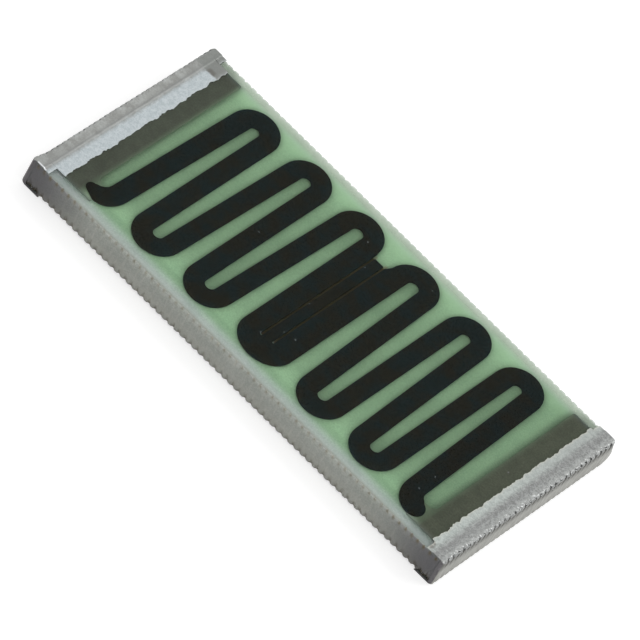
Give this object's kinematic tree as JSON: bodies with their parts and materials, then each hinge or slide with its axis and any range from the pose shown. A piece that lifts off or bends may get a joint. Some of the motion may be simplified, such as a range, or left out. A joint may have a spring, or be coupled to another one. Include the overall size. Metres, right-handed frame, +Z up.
{
  "type": "high voltage chip resistor",
  "caption": "Flat alumina chip with a meandering thick film resistor under green glass and a wraparound solder land at each end.",
  "frame": {"origin": "under the middle of the chip, its snapped foot at +Y included, in the plane of its two solder lands", "axes": "+X along the chip's length, +Y across it, +Z up out of the glass side"},
  "size_m": [0.0102, 0.0054, 0.0007],
  "materials": {
    "alumina": "matte",
    "printed_silver": "matte",
    "resistor_film": "matte",
    "green_glass": "gloss",
    "dipped_silver": "matte",
    "nickel": "satin",
    "solder": "satin"
  },
  "bodies": {
    "root": {"ceramic_substrate": "alumina", "left_bottom_electrode": "printed_silver", "right_bottom_electrode": "printed_silver", "left_top_electrode": "printed_silver", "right_top_electrode": "printed_silver", "resistor_track": "resistor_film", "glass_overcoat": "green_glass", "left_end_electrode": "dipped_silver", "right_end_electrode": "dipped_silver", "left_nickel_barrier": "nickel", "right_nickel_barrier": "nickel", "left_solder_cap": "solder", "right_solder_cap": "solder"}
  },
  "joints": []
}
